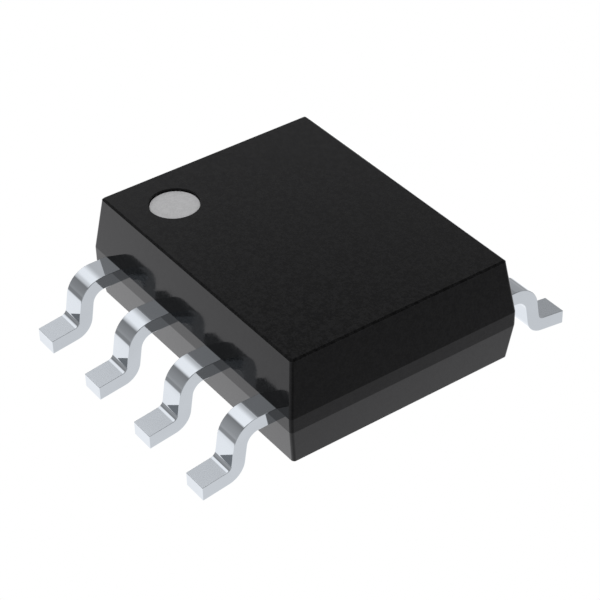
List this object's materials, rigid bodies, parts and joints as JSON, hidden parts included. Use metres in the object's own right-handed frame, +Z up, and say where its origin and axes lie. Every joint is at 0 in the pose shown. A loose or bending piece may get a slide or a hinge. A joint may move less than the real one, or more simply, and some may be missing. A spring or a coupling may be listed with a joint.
{
  "type": "small outline integrated circuit package",
  "caption": "Moulded surface-mount chip package with gull-wing leads along two sides and a round pin-one mark on top.",
  "frame": {"origin": "on the board's surface, under the middle of the package", "axes": "+X along the lead rows from pin 1 to pin 4, +Y across the package from the row of pins 1 to 4 to the row of pins 5 to 8, +Z up through the marked top"},
  "size_m": [0.0048, 0.0062, 0.0018],
  "materials": {
    "moulding_compound": "black filled epoxy, fine matt top, smoother drafted walls",
    "tin_plate": "bright tin plating over copper",
    "mark_ink": "flat light grey ink",
    "frame_copper": "stamped copper alloy",
    "die_glue": "silver filled epoxy",
    "silicon": "polished silicon",
    "gold_wire": "drawn gold wire"
  },
  "bodies": {
    "root": {"mold_body": "moulding_compound", "pin_one_mark": "mark_ink", "die_paddle": "frame_copper", "die_attach": "die_glue", "die": "silicon", "lead_1": "tin_plate", "lead_2": "tin_plate", "lead_3": "tin_plate", "lead_4": "tin_plate", "lead_5": "tin_plate", "lead_6": "tin_plate", "lead_7": "tin_plate", "lead_8": "tin_plate", "bond_wire_1": "gold_wire", "bond_wire_2": "gold_wire", "bond_wire_3": "gold_wire", "bond_wire_4": "gold_wire", "bond_wire_5": "gold_wire", "bond_wire_6": "gold_wire", "bond_wire_7": "gold_wire", "bond_wire_8": "gold_wire"}
  },
  "joints": []
}
